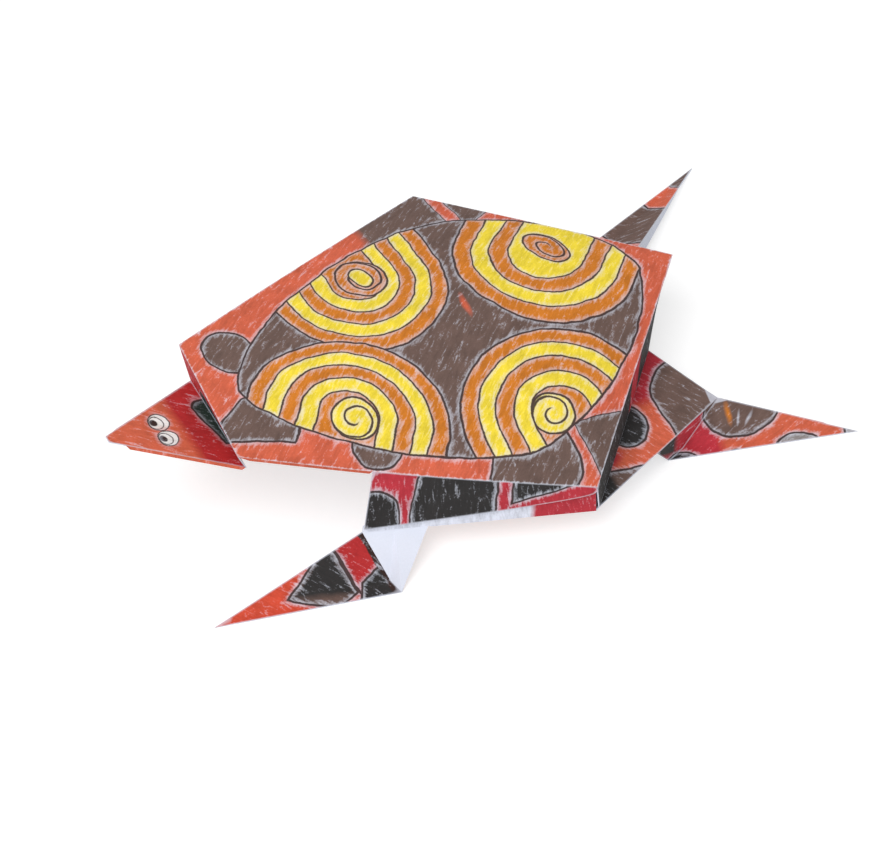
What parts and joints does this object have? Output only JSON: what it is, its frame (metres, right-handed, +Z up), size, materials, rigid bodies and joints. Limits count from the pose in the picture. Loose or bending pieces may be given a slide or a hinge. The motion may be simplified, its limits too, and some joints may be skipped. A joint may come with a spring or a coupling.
{
  "type": "origami turtle",
  "caption": "Turtle folded from a single sheet of printed paper: kite-shaped shell with raised head, side walls, folded belly and splayed legs that it stands on.",
  "frame": {"origin": "centre of the bounding box, at the table surface that the legs stand on", "axes": "+Z up from the table; the head points to -X and the turtle's left side, the near side of the picture, is -Y"},
  "size_m": [0.1548, 0.09, 0.0315],
  "materials": {
    "printed_paper": "matte"
  },
  "bodies": {
    "root": {"folded_sheet": "printed_paper"}
  },
  "joints": []
}
